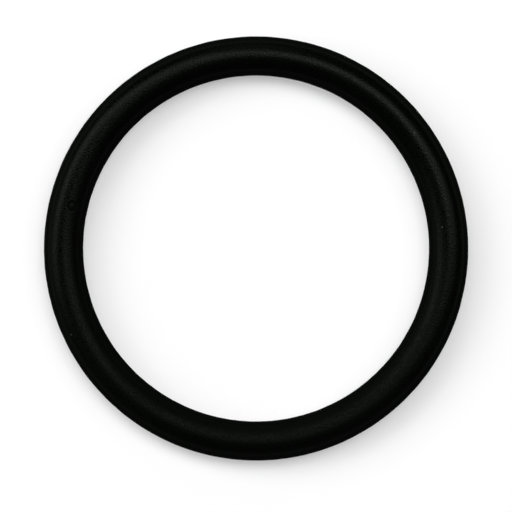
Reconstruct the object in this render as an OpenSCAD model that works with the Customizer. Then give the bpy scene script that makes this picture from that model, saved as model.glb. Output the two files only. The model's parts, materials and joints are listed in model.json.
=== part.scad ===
// Rubber o-ring: a moulded seal with a round section, lying flat.
// The origin is the middle of the ring, in the plane of its parting line.
// +Z runs along the ring's axis.

/* [Ring] */
// Inside diameter of the ring, across the round section
inside_d = 36; // [8:0.5:120]
// Diameter of the round section
section_d = 4; // [1.5:0.1:7]

/* [Parting line] */
// Width of the fine band that the mould's joint leaves round the inside and the outside
parting_w = 0.12; // [0.06:0.01:0.4]
// Height of that band above the round section
parting_h = 0.05; // [0.03:0.01:0.2]

/* [Hidden] */
// Straight steps that a full circle is drawn with
circle_steps = 180;
// Radius of the circle that the middle of the section follows
section_path_r = (inside_d + section_d) / 2;
// Width of the section across both bands
banded_w = section_d + 2 * parting_h;

// The rubber as a cut through the ring's axis shows it
module section() {
    circle(d = section_d, $fn = circle_steps);
    square([banded_w, parting_w], center = true);
}

// The whole ring, moulded in one piece
module o_ring() {
    color("#151815")
        rotate_extrude($fn = circle_steps)
            translate([section_path_r, 0])
                section();
}

o_ring();
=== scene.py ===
import json
import math

import bpy
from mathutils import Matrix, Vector


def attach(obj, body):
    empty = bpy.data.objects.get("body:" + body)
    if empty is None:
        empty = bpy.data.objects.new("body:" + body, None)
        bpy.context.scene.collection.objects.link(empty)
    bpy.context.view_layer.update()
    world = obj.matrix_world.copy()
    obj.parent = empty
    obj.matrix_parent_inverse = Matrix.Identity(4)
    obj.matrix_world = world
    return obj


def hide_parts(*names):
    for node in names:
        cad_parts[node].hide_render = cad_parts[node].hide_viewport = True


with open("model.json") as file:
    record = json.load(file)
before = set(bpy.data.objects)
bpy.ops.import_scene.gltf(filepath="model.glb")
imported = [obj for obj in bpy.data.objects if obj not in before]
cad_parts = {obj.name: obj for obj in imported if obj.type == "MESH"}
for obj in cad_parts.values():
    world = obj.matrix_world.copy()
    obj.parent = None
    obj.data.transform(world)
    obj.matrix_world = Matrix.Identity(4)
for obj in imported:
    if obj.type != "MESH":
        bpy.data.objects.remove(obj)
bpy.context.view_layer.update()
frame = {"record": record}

# The o-ring: one endless cord of black nitrile rubber with a round section, moulded in one shot
# between two steel half moulds. Where the halves meet, a fine trimmed fin, the parting line, runs
# round its inside and its outside. It lies flat on its side, and nothing is fixed to it.
mount_r = {mount["name"]: mount["dims"]["r_mm"] / 1000 for mount in frame["record"]["mounts"]}
fin_h = 0.00005
fin_w = 0.00012
path_r = (mount_r["outside"] + mount_r["inside"]) / 2
section_r = (mount_r["outside"] - mount_r["inside"]) / 2 - fin_h
ring_sizes = {
    "Path Radius": path_r,
    "Section Radius": section_r,
    "Fin Width": fin_w,
    "Fin Height": fin_h,
    "Trim Pitch": 0.0014,
    "Trim Seed": 7.0,
}
ring_steps = {"Steps Round": 640, "Steps Across": 152}
# How strongly the steps across are drawn towards the fins: they are five times closer there
crowding_across = 0.40
# How strongly the steps round are drawn towards the blister: they are twice as close there
crowding_round = 0.5
# The grain of the mould's blasted face, about 0.05 mm. It is drawn at 0.15 mm, so that it shows.
grain_pitch = 0.00015
grain_depth = 0.00002
# The lathe's turning lines in the mould, drawn a quarter of a millimetre apart, so that they show
turning_pitch = 0.00025
turning_depth = grain_depth / 10
# Cloudy patches where the cure and the handling left more or less sheen
cloud_w = 0.005
# Specks of dust, and how far apart they lie
dust_r = 0.000075
dust_pitch = 0.0025
# Roughness of the grain's hollows and of its tops, and what the clouds add at their thickest
hollow_dull = 0.44
peak_dull = 0.035
cloud_dull = 0.10
# What the inner half of the section adds. It grows over this much either side of the crown, as a cosine.
inner_dull = 0.08
inner_band = 0.35
# What handling adds, and how far down the ring it is full, as a share of the path's radius
handled_dull = 0.20
handled_far = 0.8
# The sides grow dull from the first height down to the second, both shares of the section's radius
side_start = 0.75
side_full = 0.5
# The sheen: a very low level keeps the rims black, and a strong tint gives it back its strength
sheen_level = 0.0105
sheen_tint = (3.96, 4.6, 3.96, 1.0)
# A blister that trapped air left: its place round the ring and over the section, and its size
blister_turn = math.radians(167)
blister_lean = math.radians(-12.5)
blister_out = path_r + section_r * math.sin(blister_lean)
blister_sizes = {
    "Blister X": blister_out * math.cos(blister_turn),
    "Blister Y": blister_out * math.sin(blister_turn),
    "Blister Z": section_r * math.cos(blister_lean),
    "Blister Turn": blister_turn,
    "Blister Radius": 0.00042,
    "Blister Edge": 0.0002,
    "Blister Depth": 0.00004,
    "Blister Wobble": 0.0003,
}
# What the blister's groove adds to the roughness
groove_dull = 0.75


def add(tree, kind, settings=None, links=None):
    """Adds a node. A setting is one of its own values or a socket's, and a link is a node or a socket."""
    node = tree.nodes.new(kind)
    for name, value in (settings or {}).items():
        if isinstance(name, str) and hasattr(node, name):
            setattr(node, name, value)
        else:
            node.inputs[name].default_value = value
    for name, source in (links or {}).items():
        tree.links.new(getattr(source, "outputs", [source])[0], node.inputs[name])
    return node


def linear(hex_colour):
    """The linear RGBA of an sRGB hex colour such as 1a2b3c."""
    parts = [int(hex_colour[i:i + 2], 16) / 255 for i in (0, 2, 4)]
    return [c / 12.92 if c <= 0.04045 else ((c + 0.055) / 1.055) ** 2.4 for c in parts] + [1.0]


def moulded_rubber():
    """Nitrile rubber as it leaves a blasted steel mould: a deep black with a soft, faintly green sheen.

    A fine grain breaks the sheen up, and the sides are dull where the fin was tumbled off.
    """
    rubber = bpy.data.materials.new("moulded_nitrile_rubber")
    rubber.use_nodes = True
    tree = rubber.node_tree
    place = add(tree, "ShaderNodeTexCoord").outputs["Object"]
    spot = add(tree, "ShaderNodeSeparateXYZ", {}, {0: place}).outputs
    across = add(tree, "ShaderNodeAttribute", {"attribute_name": "across"}).outputs["Fac"]
    fin = add(tree, "ShaderNodeAttribute", {"attribute_name": "fin"}).outputs["Fac"]
    groove = add(tree, "ShaderNodeAttribute", {"attribute_name": "groove"}).outputs["Fac"]

    # The relief that the mould left: its grain, and the turning lines, which run round the ring
    grain = add(tree, "ShaderNodeTexNoise", {"Scale": 1 / grain_pitch, "Detail": 0.0}, {"Vector": place})
    arc = add(tree, "ShaderNodeMath", {"operation": "MULTIPLY", 1: section_r / turning_pitch}, {0: across})
    turned = add(tree, "ShaderNodeTexNoise", {"noise_dimensions": "1D", "Scale": 1.0}, {"W": arc})
    relief = add(tree, "ShaderNodeMath", {"operation": "MULTIPLY_ADD", 1: turning_depth / grain_depth}, {
        0: turned,
        2: grain,
    })
    bump = add(tree, "ShaderNodeBump", {"Distance": grain_depth}, {"Height": relief})

    # The hollows of the grain are dull and its tops glint. The noise keeps within a quarter of its middle.
    grained = add(tree, "ShaderNodeMapRange", {
        "From Min": 0.25,
        "From Max": 0.75,
        "To Min": hollow_dull,
        "To Max": peak_dull,
    }, {"Value": grain})
    # The inner half of the section kept less polish than the outer half
    inner = add(tree, "ShaderNodeMapRange", {
        "interpolation_type": "SMOOTHSTEP",
        "From Min": inner_band,
        "From Max": -inner_band,
        "To Max": inner_dull,
    }, {"Value": add(tree, "ShaderNodeMath", {"operation": "COSINE"}, {0: across})})
    # The near side of the ring was handled more than the far side, and is duller
    handled = add(tree, "ShaderNodeMapRange", {
        "From Min": 0.0,
        "From Max": -path_r * handled_far,
        "To Max": handled_dull,
    }, {"Value": spot["Y"]})
    # The clouds of the cure lie over all that, and the blister's groove is duller than the skin about it
    cloud = add(tree, "ShaderNodeTexNoise", {"Scale": 1 / cloud_w, "Detail": 3.0}, {"Vector": place})
    skin_dull = add(tree, "ShaderNodeMath", {"operation": "ADD"}, {0: inner, 1: handled})
    clouded = add(tree, "ShaderNodeMath", {"operation": "MULTIPLY_ADD", 1: cloud_dull}, {
        0: cloud,
        2: skin_dull,
    })
    grooved = add(tree, "ShaderNodeMath", {"operation": "MULTIPLY_ADD", 1: groove_dull}, {
        0: groove,
        2: clouded,
    })
    top_dull = add(tree, "ShaderNodeMath", {"operation": "ADD"}, {0: grained, 1: grooved})
    # The sides lost their sheen where the fin was tumbled off
    sides = add(tree, "ShaderNodeMapRange", {
        "interpolation_type": "SMOOTHSTEP",
        "From Min": section_r * side_start,
        "From Max": section_r * side_full,
    }, {"Value": add(tree, "ShaderNodeMath", {"operation": "ABSOLUTE"}, {0: spot["Z"]})})
    dull = add(tree, "ShaderNodeMix", {"data_type": "FLOAT", 3: 1.0}, {0: sides, 2: top_dull})

    # The trimmed rubber of the fin is greyer than the moulded skin, and a few specks of dust lie about
    trimmed = add(tree, "ShaderNodeMix", {
        "data_type": "RGBA",
        6: linear("010201"),
        7: linear("0b0d0b"),
    }, {0: fin})
    dust = add(tree, "ShaderNodeTexVoronoi", {"Scale": 1 / dust_pitch}, {"Vector": place})
    speck = add(tree, "ShaderNodeMath", {"operation": "LESS_THAN", 1: dust_r / dust_pitch}, {0: dust})
    dusted = add(tree, "ShaderNodeMix", {"data_type": "RGBA", 7: linear("3c3e3c")}, {
        0: speck,
        6: trimmed.outputs[2],
    })
    skin = tree.nodes["Principled BSDF"]
    skin.inputs["Specular IOR Level"].default_value = sheen_level
    skin.inputs["Specular Tint"].default_value = sheen_tint
    tree.links.new(dusted.outputs[2], skin.inputs["Base Color"])
    tree.links.new(dull.outputs[0], skin.inputs["Roughness"])
    tree.links.new(bump.outputs[0], skin.inputs["Normal"])
    return rubber


def swept_ring(rubber):
    """A tree that sweeps the section round the ring's path, raises the fin and sinks the groove."""
    tree = bpy.data.node_groups.new("swept_ring", "GeometryNodeTree")
    for name in {**ring_sizes, **blister_sizes}:
        tree.interface.new_socket(name, in_out="INPUT", socket_type="NodeSocketFloat")
    for name in ring_steps:
        tree.interface.new_socket(name, in_out="INPUT", socket_type="NodeSocketInt")
    tree.interface.new_socket("Geometry", in_out="OUTPUT", socket_type="NodeSocketGeometry")
    given = add(tree, "NodeGroupInput").outputs

    # The section, from its outermost point over the top, with its points close together at the fins
    along = add(tree, "GeometryNodeSplineParameter").outputs["Factor"]
    even = add(tree, "ShaderNodeMath", {"operation": "MULTIPLY", 1: math.tau}, {0: along})
    twice = add(tree, "ShaderNodeMath", {"operation": "MULTIPLY", 1: 2.0}, {0: even})
    wave = add(tree, "ShaderNodeMath", {"operation": "SINE"}, {0: twice})
    angle = add(tree, "ShaderNodeMath", {"operation": "MULTIPLY_ADD", 1: -crowding_across}, {
        0: wave,
        2: even,
    })
    section = add(tree, "GeometryNodeCurvePrimitiveCircle", {}, {"Resolution": given["Steps Across"]})
    spot = add(tree, "ShaderNodeCombineXYZ", {}, {
        "X": add(tree, "ShaderNodeMath", {"operation": "COSINE"}, {0: angle}),
        "Y": add(tree, "ShaderNodeMath", {"operation": "SINE"}, {0: angle}),
    })
    sized = add(tree, "ShaderNodeVectorMath", {"operation": "SCALE"}, {
        0: spot,
        "Scale": given["Section Radius"],
    })
    crowded = add(tree, "GeometryNodeSetPosition", {}, {"Geometry": section, "Position": sized})
    marked = add(tree, "GeometryNodeStoreNamedAttribute", {"Name": "across"}, {
        "Geometry": crowded,
        "Value": angle,
    })

    # The ring's path, with its points close together at the blister, and the section swept round it
    past = add(tree, "ShaderNodeMath", {"operation": "SUBTRACT"}, {0: even, 1: given["Blister Turn"]})
    pull = add(tree, "ShaderNodeMath", {"operation": "SINE"}, {0: past})
    turn = add(tree, "ShaderNodeMath", {"operation": "MULTIPLY_ADD", 1: -crowding_round}, {
        0: pull,
        2: even,
    })
    path = add(tree, "GeometryNodeCurvePrimitiveCircle", {}, {"Resolution": given["Steps Round"]})
    stop = add(tree, "ShaderNodeCombineXYZ", {}, {
        "X": add(tree, "ShaderNodeMath", {"operation": "COSINE"}, {0: turn}),
        "Y": add(tree, "ShaderNodeMath", {"operation": "SINE"}, {0: turn}),
    })
    stretched = add(tree, "ShaderNodeVectorMath", {"operation": "SCALE"}, {
        0: stop,
        "Scale": given["Path Radius"],
    })
    spaced = add(tree, "GeometryNodeSetPosition", {}, {"Geometry": path, "Position": stretched})
    upright = add(tree, "GeometryNodeSetCurveNormal", {"mode": "Z_UP"}, {"Curve": spaced})
    swept = add(tree, "GeometryNodeCurveToMesh", {}, {"Curve": upright, "Profile Curve": marked})

    # The fin: a low ridge at the parting plane, trimmed unevenly to between half and all of its height
    spot_on_ring = add(tree, "GeometryNodeInputPosition")
    height = add(tree, "ShaderNodeMath", {"operation": "ABSOLUTE"}, {
        0: add(tree, "ShaderNodeSeparateXYZ", {}, {0: spot_on_ring}).outputs["Z"],
    })
    foot = add(tree, "ShaderNodeMath", {"operation": "DIVIDE", 1: 2.0}, {0: given["Fin Width"]})
    crest = add(tree, "ShaderNodeMath", {"operation": "DIVIDE", 1: 5.0}, {0: given["Fin Width"]})
    ridge = add(tree, "ShaderNodeMapRange", {"interpolation_type": "SMOOTHSTEP"}, {
        "Value": height,
        "From Min": foot,
        "From Max": crest,
    })
    uneven = add(tree, "ShaderNodeTexNoise", {"noise_dimensions": "4D", "Detail": 3.0}, {
        "Vector": spot_on_ring,
        "W": given["Trim Seed"],
        "Scale": add(tree, "ShaderNodeMath", {"operation": "DIVIDE", 0: 1.0}, {1: given["Trim Pitch"]}),
    })
    trimmed = add(tree, "ShaderNodeMapRange", {
        "From Min": 0.3,
        "From Max": 0.6,
        "To Min": 0.5,
    }, {"Value": uneven})
    left = add(tree, "ShaderNodeMath", {"operation": "MULTIPLY"}, {0: ridge, 1: trimmed})
    raised = add(tree, "ShaderNodeMath", {"operation": "MULTIPLY"}, {0: left, 1: given["Fin Height"]})

    # The blister: a shallow groove, a little out of round, that rings its middle
    middle = add(tree, "ShaderNodeCombineXYZ", {}, {axis: given["Blister " + axis] for axis in "XYZ"})
    away = add(tree, "ShaderNodeVectorMath", {"operation": "DISTANCE"}, {0: spot_on_ring, 1: middle})
    wide = add(tree, "ShaderNodeMath", {"operation": "MULTIPLY", 1: 2.0}, {0: given["Blister Radius"]})
    wobble = add(tree, "ShaderNodeTexNoise", {"Detail": 1.0}, {
        "Vector": spot_on_ring,
        "Scale": add(tree, "ShaderNodeMath", {"operation": "DIVIDE", 0: 1.0}, {1: wide}),
    })
    centred = add(tree, "ShaderNodeMath", {"operation": "SUBTRACT", 1: 0.5}, {0: wobble})
    bent = add(tree, "ShaderNodeMath", {"operation": "MULTIPLY_ADD"}, {
        0: centred,
        1: given["Blister Wobble"],
        2: away.outputs["Value"],
    })
    off_edge = add(tree, "ShaderNodeMath", {"operation": "SUBTRACT"}, {
        0: bent,
        1: given["Blister Radius"],
    })
    groove = add(tree, "ShaderNodeMapRange", {"interpolation_type": "SMOOTHSTEP", "From Max": 0.0}, {
        "Value": add(tree, "ShaderNodeMath", {"operation": "ABSOLUTE"}, {0: off_edge}),
        "From Min": given["Blister Edge"],
    })
    sunk = add(tree, "ShaderNodeMath", {"operation": "MULTIPLY"}, {0: groove, 1: given["Blister Depth"]})
    risen = add(tree, "ShaderNodeMath", {"operation": "SUBTRACT"}, {0: raised, 1: sunk})
    push = add(tree, "ShaderNodeVectorMath", {"operation": "SCALE"}, {
        0: add(tree, "GeometryNodeInputNormal"),
        "Scale": risen,
    })
    # The fin and the groove are noted on the surface before it moves, because the rubber reads them
    noted = add(tree, "GeometryNodeStoreNamedAttribute", {"Name": "fin"}, {
        "Geometry": swept,
        "Value": ridge,
    })
    noted_too = add(tree, "GeometryNodeStoreNamedAttribute", {"Name": "groove"}, {
        "Geometry": noted,
        "Value": groove,
    })
    pushed = add(tree, "GeometryNodeSetPosition", {}, {"Geometry": noted_too, "Offset": push})

    smooth = add(tree, "GeometryNodeSetShadeSmooth", {}, {"Geometry": pushed})
    real = add(tree, "GeometryNodeRealizeInstances", {}, {"Geometry": smooth})
    clad = add(tree, "GeometryNodeSetMaterial", {"Material": rubber}, {"Geometry": real})
    add(tree, "NodeGroupOutput", {}, {"Geometry": clad})
    return tree


blank = bpy.data.objects.new("ring_blank", bpy.data.meshes.new("ring_blank"))
bpy.context.scene.collection.objects.link(blank)
sweep = blank.modifiers.new("sweep", "NODES")
sweep.node_group = swept_ring(moulded_rubber())
sockets = {s.name: s.identifier for s in sweep.node_group.interface.items_tree if s.in_out == "INPUT"}
for name, value in {**ring_sizes, **blister_sizes, **ring_steps}.items():
    sweep[sockets[name]] = value
bpy.context.view_layer.update()
ring_mesh = bpy.data.meshes.new_from_object(blank.evaluated_get(bpy.context.evaluated_depsgraph_get()))
ring = bpy.data.objects.new("moulded_ring", ring_mesh)
bpy.context.scene.collection.objects.link(ring)
bpy.data.objects.remove(blank)
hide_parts("o_ring")
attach(ring, "root")

# The stage: a plain floor of pale grey card that turns up in a low curve at its far edge, so that
# a view from low down still ends in a pale background.
floor_z = -section_r
floor_r = 2.2
cove_r = 0.2
cove_steps = 12
round_steps = 96
profile = [(0.0, floor_z), (floor_r - cove_r, floor_z)]
for step in range(1, cove_steps + 1):
    turn = math.radians(90) * step / cove_steps
    profile.append((floor_r - cove_r + cove_r * math.sin(turn), floor_z + cove_r * (1 - math.cos(turn))))
corners = [(0.0, 0.0, floor_z)]
faces = []
for r, z in profile[1:]:
    for step in range(round_steps):
        turn = math.tau * step / round_steps
        corners.append((r * math.cos(turn), r * math.sin(turn), z))
for step in range(round_steps):
    after = (step + 1) % round_steps
    faces.append((0, 1 + step, 1 + after))
    for row in range(len(profile) - 2):
        inner = 1 + row * round_steps
        outer = inner + round_steps
        faces.append((inner + step, outer + step, outer + after, inner + after))
floor_mesh = bpy.data.meshes.new("floor")
floor_mesh.from_pydata(corners, [], faces)
floor = bpy.data.objects.new("floor", floor_mesh)
bpy.context.scene.collection.objects.link(floor)
card = bpy.data.materials.new("pale_card")
card.use_nodes = True
card_tree = card.node_tree
paper = card_tree.nodes["Principled BSDF"]
paper.inputs["Base Color"].default_value = linear("c9c9c9")
paper.inputs["Roughness"].default_value = 1.0
paper.inputs["Specular IOR Level"].default_value = 0.0
# The camera and the gloss see the card lifted to white, and its shadows stay light
card_lift = 0.38
ray = add(card_tree, "ShaderNodeLightPath").outputs
direct = add(card_tree, "ShaderNodeMath", {"operation": "ADD"}, {
    0: ray["Is Camera Ray"],
    1: ray["Is Glossy Ray"],
})
seen = add(card_tree, "ShaderNodeMath", {"operation": "ADD", "use_clamp": True}, {
    0: direct,
    1: ray["Is Transmission Ray"],
})
lift = add(card_tree, "ShaderNodeMath", {"operation": "MULTIPLY", 1: card_lift}, {0: seen})
paper.inputs["Emission Color"].default_value = (1.0, 1.0, 1.0, 1.0)
card_tree.links.new(lift.outputs[0], paper.inputs["Emission Strength"])
floor_mesh.materials.append(card)

# The lamps: soft round ones, set along an arc from the right, over the top, to the left, and aimed at
# the ring. Together with the dim room they show a flat colour about as it is written.
lamp_far = 2.5
lamp_across = 1.3
for name, azimuth, polar, strength in (
    ("right", 15, 36, 0.5),
    ("upper_right", 55, 18, 1.25),
    ("upper_left", 120, 32, 0.9),
    ("top", 90, 60, 0.2),
    ("left", 150, 50, 1.0),
    ("far_left", 180, 50, 0.45),
    ("low_left", 180, 66, 0.35),
):
    lamp = bpy.data.lights.new(name, "AREA")
    lamp.shape = "DISK"
    lamp.size = lamp_across
    lamp.energy = strength * math.pi * lamp_far ** 2
    stand = bpy.data.objects.new(name, lamp)
    turn = math.radians(azimuth)
    lean = math.radians(polar)
    way = Vector((math.cos(turn) * math.sin(lean), math.sin(turn) * math.sin(lean), math.cos(lean)))
    stand.location = way * lamp_far
    stand.rotation_euler = way.to_track_quat("Z", "Y").to_euler()
    bpy.context.scene.collection.objects.link(stand)
room_grey = 0.03
room = bpy.data.worlds.new("dim_room")
room.use_nodes = True
dim = room.node_tree.nodes["Background"].inputs["Color"]
dim.default_value = (room_grey, room_grey, room_grey, 1.0)
bpy.context.scene.world = room

# The camera: straight above the ring, with a long lens. The ring has the same size and place in the
# picture as in the photo, both in pixels.
camera_data = bpy.data.cameras.new("camera")
camera = bpy.data.objects.new("camera", camera_data)
bpy.context.scene.collection.objects.link(camera)
bpy.context.scene.camera = camera
image_px = 512
ring_px = 423.5
ring_right_px = 0.1
ring_up_px = 7.5
px = 2 * (path_r + section_r) / ring_px
camera_height = 0.6
camera_data.sensor_width = 36
camera_data.lens = camera_data.sensor_width * camera_height / (image_px * px)
camera.location = (-ring_right_px * px, -ring_up_px * px, camera_height)
bpy.context.scene.view_settings.view_transform = "Standard"
